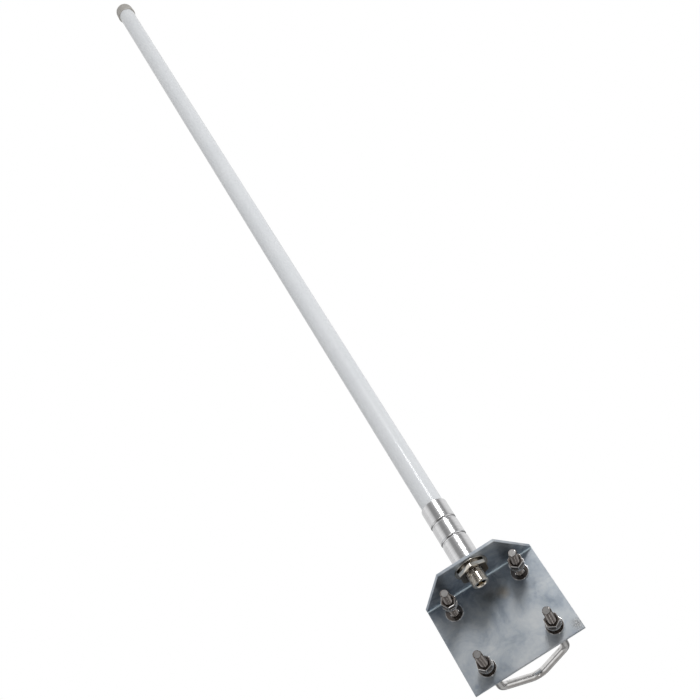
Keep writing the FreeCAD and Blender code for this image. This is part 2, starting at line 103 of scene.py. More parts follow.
def new_material(name, metallic, roughness):
    """Material with a Principled shader; returns the material, its node tree and the shader."""
    material = bpy.data.materials.new(name)
    material.use_nodes = True
    tree = material.node_tree
    shader = tree.nodes["Principled BSDF"]
    shader.inputs["Metallic"].default_value = metallic
    shader.inputs["Roughness"].default_value = roughness
    return material, tree, shader


def position(tree):
    """Place on the object, in metres."""
    return tree.nodes.new("ShaderNodeTexCoord").outputs["Object"]


def noise(tree, scale, detail=4.0, stretch=(1, 1, 1), rough=0.55, distortion=0.0):
    """Noise over the object, scale in features per metre."""
    mapping = tree.nodes.new("ShaderNodeMapping")
    mapping.inputs["Scale"].default_value = stretch
    texture = tree.nodes.new("ShaderNodeTexNoise")
    texture.inputs["Scale"].default_value = scale
    texture.inputs["Detail"].default_value = detail
    texture.inputs["Roughness"].default_value = rough
    texture.inputs["Distortion"].default_value = distortion
    tree.links.new(position(tree), mapping.inputs["Vector"])
    tree.links.new(mapping.outputs["Vector"], texture.inputs["Vector"])
    return texture.outputs["Fac"]


def ramp(tree, source, stops):
    """Colour ramp over a value; stops are (position, colour)."""
    node = tree.nodes.new("ShaderNodeValToRGB")
    elements = node.color_ramp.elements
    while len(elements) < len(stops):
        elements.new(0.5)
    for element, (place, colour) in zip(elements, stops):
        element.position = place
        element.color = (*colour, 1)
    tree.links.new(source, node.inputs["Fac"])
    return node.outputs["Color"]


def span(tree, source, low, high, start=0.3, end=0.7):
    """Value mapped from start..end to low..high."""
    node = tree.nodes.new("ShaderNodeMapRange")
    node.inputs["From Min"].default_value = start
    node.inputs["From Max"].default_value = end
    node.inputs["To Min"].default_value = low
    node.inputs["To Max"].default_value = high
    tree.links.new(source, node.inputs["Value"])
    return node.outputs["Result"]


def product(tree, first, second):
    """Product of two values."""
    node = tree.nodes.new("ShaderNodeMath")
    node.operation = "MULTIPLY"
    tree.links.new(first, node.inputs[0])
    tree.links.new(second, node.inputs[1])
    return node.outputs["Value"]


def mix(tree, factor, first, second, mode="MIX"):
    """Colour mix; factor and the colours may be sockets or plain values."""
    node = tree.nodes.new("ShaderNodeMix")
    node.data_type = "RGBA"
    node.blend_type = mode
    for name, value in (("Factor", factor), ("A", first), ("B", second)):
        socket = next(i for i in node.inputs if i.name == name and i.enabled)
        if isinstance(value, bpy.types.NodeSocket):
            tree.links.new(value, socket)
        elif name == "Factor":
            socket.default_value = value
        else:
            socket.default_value = (*value, 1)
    return next(o for o in node.outputs if o.enabled)


def bump(tree, shader, source, strength, depth):
    """Bump of a depth in mm, added to whatever bump the shader already has."""
    node = tree.nodes.new("ShaderNodeBump")
    node.inputs["Strength"].default_value = strength
    node.inputs["Distance"].default_value = depth * MM
    tree.links.new(source, node.inputs["Height"])
    if shader.inputs["Normal"].links:
        tree.links.new(shader.inputs["Normal"].links[0].from_socket, node.inputs["Normal"])
    tree.links.new(node.outputs["Normal"], shader.inputs["Normal"])


# ---------------------------------------------------------------- materials

def plain_finish(name, dark, light, metallic, rough, cloud, grain, depth=0.02):
    """General finish: clouded colour, clouded roughness and a fine bump."""
    material, tree, shader = new_material(name, metallic, sum(rough) / 2)
    colour = ramp(tree, noise(tree, cloud), [(0.35, dark), (0.65, light)])
    tree.links.new(colour, shader.inputs["Base Color"])
    tree.links.new(span(tree, noise(tree, cloud * 2.3), *rough), shader.inputs["Roughness"])
    bump(tree, shader, noise(tree, grain, detail=2.0), 0.25, depth)
    return material


def machined(name, dark, light, rough, shade_and_grime):
    """Bright machined metal; the 'root' attribute blends in the last colour: painted shade in thread roots,
    recesses and nut and washer faces, partly grime on threads.
    """
    material, tree, shader = new_material(name, 1.0, sum(rough) / 2)
    base = ramp(tree, noise(tree, 160, detail=3), [(0.35, dark), (0.65, light)])
    root = tree.nodes.new("ShaderNodeAttribute")
    root.attribute_name = "root"
    # painted shade, partly grime on threads: the 'root' attribute darkens the base towards the last colour
    base = mix(tree, span(tree, root.outputs["Fac"], 0.0, 0.92, 0.2, 1.0), base, shade_and_grime)
    tree.links.new(base, shader.inputs["Base Color"])
    tree.links.new(span(tree, noise(tree, 420), *rough), shader.inputs["Roughness"])
    bump(tree, shader, noise(tree, 2600, detail=2), 0.2, 0.01)
    return material


def polished_aluminium():
    """Turned and polished aluminium: faint turning rings round the axis."""
    material, tree, shader = new_material("polished_aluminium", 1.0, 0.19)
    rings = noise(tree, 1400, detail=2, stretch=(0.02, 0.02, 1))
    base = ramp(tree, rings, [(0.3, (0.78, 0.78, 0.79)), (0.7, (0.88, 0.88, 0.89))])
    tree.links.new(base, shader.inputs["Base Color"])
    tree.links.new(span(tree, noise(tree, 300), 0.15, 0.22), shader.inputs["Roughness"])
    bump(tree, shader, rings, 0.2, 0.01)
    return material


def radome_white():
    """White lacquered fibreglass: faint lengthwise fibre under a clear gloss coat."""
    material, tree, shader = new_material("radome_white", 0.0, 0.28)
    fibre = noise(tree, 900, detail=3, stretch=(1, 1, 0.02))
    base = ramp(tree, noise(tree, 25), [(0.3, (0.80, 0.825, 0.85)), (0.7, (0.84, 0.86, 0.88))])
    base = mix(tree, span(tree, fibre, 0.0, 0.10), base, (0.74, 0.76, 0.80))
    tree.links.new(base, shader.inputs["Base Color"])
    tree.links.new(span(tree, noise(tree, 140), 0.24, 0.34), shader.inputs["Roughness"])
    shader.inputs["Specular IOR Level"].default_value = 0.3
    shader.inputs["Coat Weight"].default_value = 0.35
    shader.inputs["Coat Roughness"].default_value = 0.05
    bump(tree, shader, fibre, 0.12, 0.02)
    return material


def along(tree, axis, low, high):
    """0 to 1 between two places on an axis of the frame, in mm."""
    split = tree.nodes.new("ShaderNodeSeparateXYZ")
    tree.links.new(position(tree), split.inputs["Vector"])
    return span(tree, split.outputs[axis], 0.0, 1.0, low * MM, high * MM)


def zinc_tarnish_and_shade(tree):
    """Share of dull tarnish with painted shade: cloudy tarnish, and painted shade from the flange, heavier in the
    corner under the flange.
    """
    clouds = noise(tree, 55, detail=5, rough=0.65, distortion=0.8)
    share = span(tree, clouds, 0.1, 0.9, 0.35, 0.65)
    share = product(tree, along(tree, "Z", -18, 16), share)
    return product(tree, along(tree, "Y", -22, 20), share)


def bend_highlight(tree):
    """1 on the rounded inside of the bend between plate and flange, where a highlight is painted, 0 elsewhere."""
    near, at = 1.8, 0.8
    return product(tree, along(tree, "Z", flange_under - near, flange_under - at),
                   along(tree, "Y", plate_face - near, plate_face - at))


def stain(tree, across, height, radius, strength):
    """Share of a round stain with a ragged edge on the plate's face, sizes in mm."""
    solid_until, gone_at = 0.7 * radius * MM, 1.5 * radius * MM
    away = tree.nodes.new("ShaderNodeVectorMath")
    away.operation = "DISTANCE"
    away.inputs[1].default_value = Vector((across, plate_face, height)) * MM
    tree.links.new(position(tree), away.inputs[0])
    ragged = tree.nodes.new("ShaderNodeMath")
    ragged.operation = "MULTIPLY_ADD"
    ragged.inputs[1].default_value = radius * MM
    tree.links.new(noise(tree, 140, detail=4, rough=0.6), ragged.inputs[0])
    tree.links.new(away.outputs["Value"], ragged.inputs[2])
    return span(tree, ragged.outputs["Value"], strength, 0.0, solid_until, gone_at)


def zinc_colour(tree, patches):
    """Mottled zinc with fine spangle, rolling marks, scuffs, tarnish with painted shade under the flange, a
    painted highlight inside the bend, two stains and a worn corner.
    """
    base = ramp(tree, patches, [
        (0.32, (0.390, 0.450, 0.520)), (0.45, (0.580, 0.635, 0.690)), (0.60, (0.745, 0.785, 0.815)),
        (0.74, (0.880, 0.900, 0.910)),
    ])
    spangle = tree.nodes.new("ShaderNodeTexVoronoi")
    spangle.inputs["Scale"].default_value = 330
    tree.links.new(position(tree), spangle.inputs["Vector"])
    flecks = ramp(tree, spangle.outputs["Color"], [(0.0, (0.44, 0.44, 0.46)), (1.0, (0.56, 0.56, 0.55))])
    base = mix(tree, 0.75, base, flecks, "OVERLAY")
    rolling = noise(tree, 220, detail=3, stretch=(1, 0.08, 0.08))
    base = mix(tree, span(tree, rolling, 0.0, 0.14), base, (0.62, 0.66, 0.72))
    scuffs = noise(tree, 75, detail=8, stretch=(0.25, 1.6, 1.6), rough=0.75, distortion=1.2)
    base = mix(tree, span(tree, scuffs, 0.0, 0.55, 0.66, 0.74), base, (0.74, 0.75, 0.76))
    # painted shade: darker towards the corner under the flange, over cloudy tarnish
    base = mix(tree, zinc_tarnish_and_shade(tree), base, (0.25, 0.30, 0.37))
    # painted highlight: light blue along the inside of the bend
    base = mix(tree, bend_highlight(tree), base, (0.80, 0.93, 1.0))
    base = mix(tree, stain(tree, 12.5, -2.4, 8.5, 0.5), base, (0.46, 0.37, 0.25))
    base = mix(tree, stain(tree, 0.8, 1.3, 7.5, 0.6), base, (0.15, 0.16, 0.17))
    speckle = span(tree, noise(tree, 900, detail=6, rough=0.8), 0.0, 1.0, 0.48, 0.56)
    worn = mix(tree, speckle, (0.24, 0.24, 0.24), (0.95, 0.95, 0.94))
    return mix(tree, stain(tree, bracket_half_width - 4, plate_bottom + 6, 7.5, 0.7), base, worn)


def zinc_plate():
    """Cloudy zinc plate on sheet steel."""
    material, tree, shader = new_material("zinc_plate", 1.0, 0.5)
    patches = noise(tree, 34, detail=5, rough=0.6, distortion=0.5)
    tree.links.new(zinc_colour(tree, patches), shader.inputs["Base Color"])
    tree.links.new(span(tree, patches, 0.42, 0.56, 0.35, 0.7), shader.inputs["Roughness"])
    bump(tree, shader, noise(tree, 1500, detail=2), 0.25, 0.02)
    bump(tree, shader, noise(tree, 120, detail=3), 0.22, 0.12)
    return material


FINISHES = {
    "white_fibreglass": radome_white(),
    "cap_plastic": plain_finish(
        "cap_plastic", (0.43, 0.41, 0.38), (0.49, 0.47, 0.44), 0.0, (0.42, 0.55), 90, 1600),
    "polished_aluminium": polished_aluminium(),
    # the last colour of each machined finish is the dark of the painted shade, partly grime on threads
    "nickel": machined(
        "nickel", (0.78, 0.73, 0.65), (0.90, 0.86, 0.79), (0.06, 0.11), (0.07, 0.05, 0.03)),
    "nickel_washer": machined(
        "nickel_washer", (0.50, 0.47, 0.43), (0.66, 0.63, 0.58), (0.16, 0.28), (0.05, 0.04, 0.03)),
    "ptfe": plain_finish(
        "ptfe", (0.78, 0.78, 0.75), (0.86, 0.86, 0.84), 0.0, (0.35, 0.5), 200, 2500),
    "gold_contact": plain_finish(
        "gold_contact", (0.72, 0.50, 0.18), (0.86, 0.64, 0.27), 1.0, (0.15, 0.28), 300, 3000),
    "zinc_steel": zinc_plate(),
    "stainless": machined(
        "stainless", (0.70, 0.69, 0.68), (0.86, 0.85, 0.84), (0.12, 0.24), (0.085, 0.055, 0.04)),
    "seal_rubber": plain_finish(
        "seal_rubber", (0.012, 0.012, 0.012), (0.03, 0.03, 0.03), 0.0, (0.5, 0.7), 300, 3000),
    "copper": plain_finish(
        "copper", (0.70, 0.33, 0.20), (0.84, 0.47, 0.32), 1.0, (0.2, 0.38), 120, 2000),
    "brass": plain_finish(
        "brass", (0.66, 0.48, 0.20), (0.80, 0.62, 0.30), 1.0, (0.2, 0.36), 120, 2000),
    "foam": plain_finish(
        "foam", (0.80, 0.79, 0.74), (0.90, 0.89, 0.85), 0.0, (0.8, 0.95), 400, 1400, 0.2),
}


# ---------------------------------------------------------------- mesh helpers

def build(name, verts, faces, slot, body=ROOT, stands_for=None, sharp=32, root=None):
    """Mesh object that rides on a body, takes a record slot and may replace a CAD node."""
    mesh = bpy.data.meshes.new(name)
    mesh.from_pydata([tuple(v) for v in verts], [], faces)
    # the 'root' attribute holds each point's share of painted shade, partly grime on threads
    if root:
        mesh.attributes.new("root", "FLOAT", "POINT").data.foreach_set("value", root)
    tidy = bmesh.new()
    tidy.from_mesh(mesh)
    bmesh.ops.remove_doubles(tidy, verts=tidy.verts, dist=1e-6)
    bmesh.ops.recalc_face_normals(tidy, faces=tidy.faces)
    tidy.to_mesh(mesh)
    tidy.free()
    mesh.shade_smooth()
    mesh.set_sharp_from_angle(angle=math.radians(sharp))
    mesh.materials.append(FINISHES[slot])
    piece = bpy.data.objects.new(name, mesh)
    bpy.context.scene.collection.objects.link(piece)
    piece.modifiers.new("flat_faces_stay_flat", "WEIGHTED_NORMAL").keep_sharp = True
    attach(piece, body)
    if stands_for:
        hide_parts(stands_for)
    return piece


def grid(rows, closed):
    """Surface through rows of points of equal length: a closed ring of rows, or a run with end caps."""
    height, width = len(rows), len(rows[0])
    verts = [point for row in rows for point in row]
    faces = []
    for j in range(height if closed else height - 1):
        above = (j + 1) % height * width
        for i in range(width):
            after = (i + 1) % width
            faces.append((j * width + i, j * width + after, above + after, above + i))
    if not closed:
        faces += [[end + i for i in range(width)] for end in (0, len(verts) - width)]
    return verts, faces


def polar(radius, angle, height):
    """Point in metres from a radius and a height in mm and an angle."""
    return Vector((radius * math.cos(angle), radius * math.sin(angle), height)) * MM


def full_turn(steps):
    """Evenly spaced angles round a circle."""
    return [2 * math.pi * k / steps for k in range(steps)]


def softened(points, radius, steps=3):
    """Closed outline with each corner cut back by up to radius and rounded."""
    share = 2.2                  # a corner takes at most 1 / share of either side
    out = []
    for k, point in enumerate(points):
        here, before, after = Vector(point), Vector(points[k - 1]), Vector(points[(k + 1) % len(points)])
        one, two = before - here, after - here
        reach = min(radius, one.length / share, two.length / share)
        start, end = here + one.normalized() * reach, here + two.normalized() * reach
        for step in range(steps + 1):
            u = step / steps
            out.append(start * (1 - u) ** 2 + here * 2 * u * (1 - u) + end * u ** 2)
    return [(p.x, p.y) for p in out]


def box_outline(inner, outer, low, high):
    """Rectangle between two radii and two heights."""
    return [(inner, low), (outer, low), (outer, high), (inner, high)]


def turned(name, outline, slot, place=Matrix.Identity(4), round_by=0.2, segments=96, painted_shade=None, **ride):
    """Turned piece from a closed outline of (radius, height) in mm; an optional function of the radius sets how
    much painted shade darkens it.
    """
    outline = softened(outline, round_by)
    root = [painted_shade(radius) for radius, _ in outline for _ in range(segments)] if painted_shade else None
    rows = [[place @ polar(radius, a, height) for a in full_turn(segments)] for radius, height in outline]
    return build(name, *grid(rows, True), slot, root=root, **ride)


def thread_depth(turn, crest=0.16, root=0.18):
    """Share of a thread's depth over one turn; crest and root are their flats' shares of the pitch."""
    u = abs((turn % 1.0) * 2 - 1)
    return min(1.0, max(0.0, (u - crest) / (1 - crest - root)))


# ---------------------------------------------------------------- radome, cap and ferrule

tube_low, tube_high = extent("radome_tube", Z)
tube_radius = extent("radome_tube", X)[1]
tube_bore = tube_radius - 2.0
turned("radome_shell", box_outline(tube_bore, tube_radius, tube_low, tube_high), "white_fibreglass",
       stands_for="radome_tube", round_by=0.3, segments=128)


def ferrule_outline():
    """Ferrule outline: two half-round grooves outside; tube socket, thread and seal recess inside."""
    low, high = extent("base_ferrule", Z)
    radius = extent("base_ferrule", X)[1]
    bevel, groove_radius, groove_depth, groove_heights = 0.7, 2.3, 1.1, (27.0, 47.0)
    socket, socket_floor = tube_radius + 0.1, low + 12.0
    thread, seal_recess, recess_height = 8.04, 10.1, low + 4.2
    centre = radius + groove_radius - groove_depth
    half = math.acos((centre - radius) / groove_radius)
    outside = [(radius - bevel, low), (radius, low + bevel)]
    for height in groove_heights:
        for k in range(11):
            a = -half + 2 * half * k / 10
            outside.append((centre - groove_radius * math.cos(a), low + height + groove_radius * math.sin(a)))
    outside += [(radius, high - bevel), (radius - bevel, high)]
    inside = [(socket, high), (socket, socket_floor), (thread, socket_floor), (thread, recess_height),
              (seal_recess, recess_height), (seal_recess, low)]
    return outside + inside


def cap_outline():
    """Cap outline: bevelled foot, slightly tapered skirt and domed top."""
    low, high = extent("radome_cap", Z)
    foot = extent("radome_cap", X)[1]
    bevel, taper, dome, skirt, bore, tip = 1.2, 0.5, 7.5, 12.0, tube_radius + 0.1, 0.02
    wall = foot - taper
    outline = [(foot - bevel, low), (foot, low + bevel), (wall, low + skirt)]
    for k in range(13):
        a = math.pi / 2 * k / 12
        outline.append((wall - dome + dome * math.cos(a), high - dome + dome * math.sin(a)))
    return outline + [(tip, high), (tip, low + skirt), (bore, low + skirt), (bore, low)]


turned("ferrule_turned", ferrule_outline(), "polished_aluminium", stands_for="base_ferrule", round_by=0.12,
       segments=128)
turned("cap_moulded", cap_outline(), "cap_plastic", stands_for="radome_cap", round_by=0.3, segments=128)


# ---------------------------------------------------------------- bracket

fold_y, fold_z = plate_back - SHEET / 2 - BEND_RADIUS, flange_top - SHEET / 2 - BEND_RADIUS
flange_length = fold_y - flange_front
bend_length = math.pi / 2 * BEND_RADIUS
plate_start = flange_length + bend_length
pattern_length = plate_start + fold_z - plate_bottom


def bracket_pattern():
    """Flat sheet with rounded edges and its holes, from the flange's front edge to the plate's foot."""
    curve = bpy.data.curves.new("bracket_pattern", "CURVE")
    curve.dimensions = "2D"
    curve.fill_mode = "BOTH"
    curve.extrude = (SHEET / 2 - SHEET_EDGE_ROUND) * MM
    curve.bevel_depth = SHEET_EDGE_ROUND * MM
    curve.offset = -SHEET_EDGE_ROUND * MM
    curve.bevel_resolution = 2
    wide = bracket_half_width
    outlines = [[(-FLANGE_FRONT_HALF, 0), (FLANGE_FRONT_HALF, 0), (wide, flange_length),
                 (wide, pattern_length), (-wide, pattern_length), (-wide, flange_length)]]
    holes = [(0, -flange_front, CONNECTOR_HOLE)]
    holes += [(side, plate_start + fold_z - height, BOLT_HOLE)
              for height in LEG_HEIGHTS for side in (-LEG_HALF, LEG_HALF)]
    for x, s, radius in holes:
        outlines.append([(x + radius * math.cos(a), s - radius * math.sin(a)) for a in full_turn(64)])
    for points in outlines:
        line = curve.splines.new("POLY")
        line.points.add(len(points) - 1)
        for point, (x, s) in zip(line.points, points):
            point.co = (x * MM, s * MM, 0, 1)
        line.use_cyclic_u = True
    pattern = bpy.data.objects.new("bracket_pattern", curve)
    bpy.context.scene.collection.objects.link(pattern)
    bpy.context.view_layer.update()
    flat = bpy.data.meshes.new_from_object(pattern.evaluated_get(bpy.context.evaluated_depsgraph_get()))
    bpy.data.objects.remove(pattern)
    return flat


def folded(across, s, t):
    """Place on the bent bracket of a point of the flat sheet, s along it and t above its middle."""
    if s <= flange_length:
        y, z = s + flange_front, flange_top - SHEET / 2 + t
    elif s >= plate_start:
        y, z = plate_back - SHEET / 2 + t, fold_z - (s - plate_start)
    else:
        a = (s - flange_length) / BEND_RADIUS
        y, z = fold_y + (BEND_RADIUS + t) * math.sin(a), fold_z + (BEND_RADIUS + t) * math.cos(a)
    return Vector((across, y, z)) * MM


def bracket():
    """Sheet bracket, cut across its bend and folded."""
    bend_cuts = 8
    work = bmesh.new()
    work.from_mesh(bracket_pattern())
    bmesh.ops.remove_doubles(work, verts=work.verts, dist=2e-6)
    for k in range(bend_cuts + 1):
        cut = (flange_length + bend_length * k / bend_cuts) * MM
        everything = work.verts[:] + work.edges[:] + work.faces[:]
        bmesh.ops.bisect_plane(work, geom=everything, plane_co=(0, cut, 0), plane_no=(0, 1, 0), dist=1e-7)
    verts = [folded(*(vert.co / MM)) for vert in work.verts]
    work.verts.index_update()
    faces = [[v.index for v in f.verts] for f in work.faces]
    work.free()
    build("bracket_sheet", verts, faces, "zinc_steel", stands_for="mounting_bracket", sharp=40)


bracket()


# ---------------------------------------------------------------- V-bolts, nuts and washers

def leg_frame(row, side=None):
    """Frame at the plate's front face, +Z out along a bolt's legs, +X from its left leg to its right one."""
    sides = [side] if side else ["left", "right"]
    spins = [joints[f"{row}_{name}_nut_spin"] for name in sides]
    out = Vector(spins[0]["axis"]).normalized()
    origin = sum((Vector(spin["pos_m"]) for spin in spins), Vector()) / len(spins)
    across = Vector((-out.y, out.x, 0))
    return Matrix.Translation(origin) @ Matrix((across, out.cross(across), out)).transposed().to_4x4()


def reach(node, place):
    """Lowest and highest distance in mm of a CAD node along a frame's +Z."""
    back = place.inverted()
    distances = [(back @ vertex.co).z / MM for vertex in nodes[node].data.vertices]
    return min(distances), max(distances)


def bolt_line():
    """Middle line of a V-bolt from tip to tip: (across, distance from the tips, heading)."""
    turn = math.pi / 2 - BOW_SLOPE
    leg_end = LEG_LENGTH - BOW_CORNER_RADIUS * math.tan(turn / 2)
    vertex = LEG_LENGTH + LEG_HALF * math.tan(BOW_SLOPE)
    apex_centre = vertex - BOW_APEX_RADIUS / math.cos(BOW_SLOPE)
    step = ROD_PITCH / 8
    rings = int((ROD_THREAD_LENGTH - ROD_TIP_CHAMFER) / step) + 1
    along_leg = [0.0, 0.0] + [ROD_TIP_CHAMFER + step * k for k in range(rings)]
    along_leg += [ROD_THREAD_LENGTH + 1, 70, 80, leg_end]
    line = [(-LEG_HALF, s, 0.0) for s in along_leg]
    for k in range(1, 13):
        heading = turn * k / 12
        a = math.pi - heading
        line.append((BOW_CORNER_RADIUS * (1 + math.cos(a)) - LEG_HALF,
                     leg_end + BOW_CORNER_RADIUS * math.sin(a), heading))
    for k in range(13):
        heading = turn + BOW_SLOPE * k / 12
        a = math.pi - heading
        line.append((BOW_APEX_RADIUS * math.cos(a), apex_centre + BOW_APEX_RADIUS * math.sin(a), heading))
    return line + [(-across, s, math.pi - heading) for across, s, heading in line[-2::-1]]


def rod_surface(across, s, angle):
    """Radius of the rod and its share of painted shade with grime, darkest in the thread roots, at a distance s
    from the tips; the thread runs out over its end.
    """
    if s >= ROD_THREAD_LENGTH:
        return ROD_RADIUS, 0.0
    run_out, crest_shade_and_grime = 2.0, 0.75
    hand = 1 if across < 0 else -1
    dip = thread_depth(s / ROD_PITCH + hand * angle / (2 * math.pi))
    dip *= min(1.0, (ROD_THREAD_LENGTH - s) / run_out)
    radius = min(ROD_RADIUS - ROD_THREAD_DEPTH * dip, ROD_RADIUS - max(0.0, ROD_TIP_CHAMFER - s))
    # painted shade, darkest in the thread roots, over grime on the whole thread
    return radius, crest_shade_and_grime + (1 - crest_shade_and_grime) * dip


def v_bolt(row):
    """Bent rod with real threads on its legs; each tip has a face inside its chamfer that takes less of the
    painted shade and grime.
    """
    sides, face_radius, tip_face_shade_and_grime = 40, 2.9, 0.42
    place = leg_frame(row)
    stud = reach(f"{row}_v_bolt", place)[1]
    line = bolt_line()
    rows, roots = [], []
    for k, (across, s, heading) in enumerate(line):
        points = []
        for angle in full_turn(sides):
            radius, shade_and_grime = rod_surface(across, s, angle)
            # the tip faces take a lighter share of the painted shade and grime
            if k in (0, len(line) - 1):
                radius, shade_and_grime = face_radius, tip_face_shade_and_grime
            out = radius * math.cos(angle)
            point = Vector((across - out * math.cos(heading), radius * math.sin(angle),
                            stud - s - out * math.sin(heading)))
            points.append(place @ (point * MM))
            roots.append(shade_and_grime)
        rows.append(points)
    build(f"{row}_bent_rod", *grid(rows, False), "stainless", f"{row}_v_bolt_rod", f"{row}_v_bolt", 50, roots)


def hex_piece(name, flats, thickness, bore, place, slot, side_shade=0.92, **ride):
    """Hexagon nut with bevelled edges and a countersunk bore, seat at z = 0; its face and flats are darkened as
    painted shade, its edges and corners stay bright as painted highlights.
    """
    bevel, highlight_band, blend, edge_blend, highlight_corner_start = 0.35, 0.25, 0.5, 0.1, math.radians(28)
    corner = flats / math.sqrt(3) * 0.985
    sink = min(0.9, thickness / 4)
    offsets = (-30, -28.5, -26, -20, -10, 0, 10, 20, 26, 28.5)
    columns, shades = [], []
    for a in (math.radians(60 * k + 30 + offset) for k in range(6) for offset in offsets):
        local = a % (math.pi / 3) - math.pi / 6
        side = min(flats / 2 / math.cos(local), corner)
        rim = min((flats / 2 - bevel) / math.cos(local), corner - bevel - highlight_band)
        # painted shade on the flats; the corners stay bright as painted highlights
        shade_and_grime = side_shade if abs(local) < highlight_corner_start else 0.0
        # painted shade on the face, darkest at the bore, fading out on the bevelled edge, which stays bright as a
        # painted highlight
        half = [(bore, sink, 1.0), (bore + sink, 0, 1.0), (rim - blend, 0, 0.9), (rim - edge_blend, 0, 0.75),
                (rim, 0, 0.5), (side, bevel, 0.0), (side, bevel + highlight_band, shade_and_grime)]
        outline = half + [(radius, thickness - height, shade) for radius, height, shade in reversed(half)]
        columns.append([place @ polar(radius, a, height) for radius, height, _ in outline])
        shades.append([shade for _, _, shade in outline])
    roots = [shade for ring in zip(*shades) for shade in ring]
    return build(name, *grid(list(zip(*columns)), True), slot, root=roots, **ride)


def split_washer(name, inner, outer, thickness, place, slot, **ride):
    """Spring washer: square-section ring with rounded edges and one slanted gap."""
    gap, slant, steps = 1.2, 0.08, 72
    opening = gap / outer
    section = softened(box_outline(inner, outer, 0, thickness), 0.3, 2)
    rows = []
    for k in range(steps + 1):
        a = opening / 2 + (2 * math.pi - opening) * k / steps
        rows.append([place @ polar(radius, a + (height / thickness - 0.5) * slant, height)
                     for radius, height in section])
    return build(name, *grid(rows, False), slot, **ride)


def leg_pieces(row, side):
    """Nut, spring washer and plate washer of one leg."""
    leg = f"{row}_{side}"
    place = leg_frame(row, side)
    spin = Matrix.Rotation(math.radians(NUT_TURNS[leg]), 4, "Z")
    low, high = reach(f"{leg}_nut", place)
    hex_piece(f"{leg}_hex_nut_piece", NUT_FLATS, high - low, WASHER_BORE,
              place @ Matrix.Translation((0, 0, low * MM)) @ spin, "stainless",
              body=f"{leg}_hex_nut", stands_for=f"{leg}_nut")
    low, high = reach(f"{leg}_spring_washer", place)
    split_washer(f"{leg}_split_ring", WASHER_BORE, 7.3, high - low,
                 place @ Matrix.Translation((0, 0, low * MM)) @ spin, "stainless",
                 body=f"{leg}_washer_carrier", stands_for=f"{leg}_spring_washer")
    low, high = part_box(f"{leg}_plate_washer")
    middle = (low + high) / 2
    flat = Matrix.Translation((middle.x, high.y, middle.z)) @ Matrix.Rotation(math.radians(90), 4, "X")
    bore, outer, thickness, shade_edge, bright_rim = 4.4, 8.5, 1.6, 7.6, 8.0
    outline = [(bore, 0), (outer, 0), (outer, thickness), (shade_edge, thickness), (bore, thickness)]
    # painted shade on the washer's face; its outer rim stays bright as a painted highlight
    turned(f"{leg}_flat_ring", outline, "stainless", flat, 0.35,
           painted_shade=lambda radius: 0.0 if radius > bright_rim else 0.9, stands_for=f"{leg}_plate_washer")


for row in ("upper", "lower"):
    v_bolt(row)
    for side in ("left", "right"):
        leg_pieces(row, side)


# ---------------------------------------------------------------- connector and its hardware

insulator_low, insulator_high = extent("connector_insulator", Z)
insulator_radius = extent("connector_insulator", X)[1]
contact_low, contact_high = extent("connector_contact", Z)
contact_radius = extent("connector_contact", X)[1]
CLEARANCE = 0.1
SOCKET_RADIUS = 4.2


def barrel_thread(angle, z):
    """Radius and painted shade on the barrel's outside, the shade lying in the thread roots; a plain groove parts
    its mating and its mounting thread.
    """
    depth, lead_in, groove_low, groove_high = 0.52, 0.7, 9.0, 10.4
    groove = groove_low < z < groove_high
    share = 1.0 if groove else thread_depth(z / THREAD_PITCH - angle / (2 * math.pi), 0.40, 0.14)
    radius = min(THREAD_RADIUS - depth * share, THREAD_RADIUS - max(0.0, lead_in - z))
    return radius, 0.0 if groove else share


def threaded_barrel():
    """N-female connector body: threads below the flange, rounded mouth, hollow socket."""
    angles = full_turn(96)
    thread_start, thread_run, step = 0.25, 22.0, THREAD_PITCH / 8
    # painted shade inside the socket, darker deeper in
    mouth = [(SOCKET_RADIUS, insulator_low - CLEARANCE, 0.35), (SOCKET_RADIUS, 1.3, 0.1), (5.2, 0.1, 0.0),
             (5.35, 0.0, 0.0), (7.1, 0.0, 0.0)]
    shoulder_low, shoulder_high, shoulder = 22.5, 25.1, 10.0
    top = extent("connector_body", Z)[1]
    bore = insulator_radius + CLEARANCE
    upper = [(THREAD_RADIUS, shoulder_low), (shoulder, shoulder_low), (shoulder, shoulder_high),
             (THREAD_RADIUS, shoulder_high), (THREAD_RADIUS, top), (bore, top),
             (bore, insulator_low - CLEARANCE)]
    rings = [(z, [(radius, shade_and_grime)] * len(angles)) for radius, z, shade_and_grime in mouth]
    heights = [thread_start + step * k for k in range(int(thread_run / step))]
    rings += [(z, [barrel_thread(a, z) for a in angles]) for z in heights]
    rings += [(z, [(radius, 0.0)] * len(angles)) for radius, z in upper]
    rows = [[polar(radius, a, z) for a, (radius, _) in zip(angles, ring)] for z, ring in rings]
    roots = [shade_and_grime for _, ring in rings for _, shade_and_grime in ring]
    build("connector_barrel", *grid(rows, True), "nickel", stands_for="connector_body", sharp=50, root=roots)


def contact():
    """Centre contact: solid tail behind four springy fingers at the mouth."""
    bore, finger_end, axis = 0.85, 11.7, 0.02
    turned("contact_tail", box_outline(axis, contact_radius, finger_end - CLEARANCE, contact_high),
           "gold_contact", stands_for="connector_contact", segments=48)
    section = softened(box_outline(bore, contact_radius, contact_low, finger_end), 0.15, 2)
    start, sweep, steps = 8, 74, 8
    for k in range(4):
        angles = [math.radians(90 * k + start + sweep * j / steps) for j in range(steps + 1)]
        rows = [[polar(radius, a, z) for radius, z in section] for a in angles]
        build(f"contact_finger_{k + 1}", *grid(rows, False), "gold_contact")


threaded_barrel()
contact()
turned("insulator_turned",
       box_outline(contact_radius + 0.05, insulator_radius, insulator_low, insulator_high),
       "ptfe", stands_for="connector_insulator", segments=64)


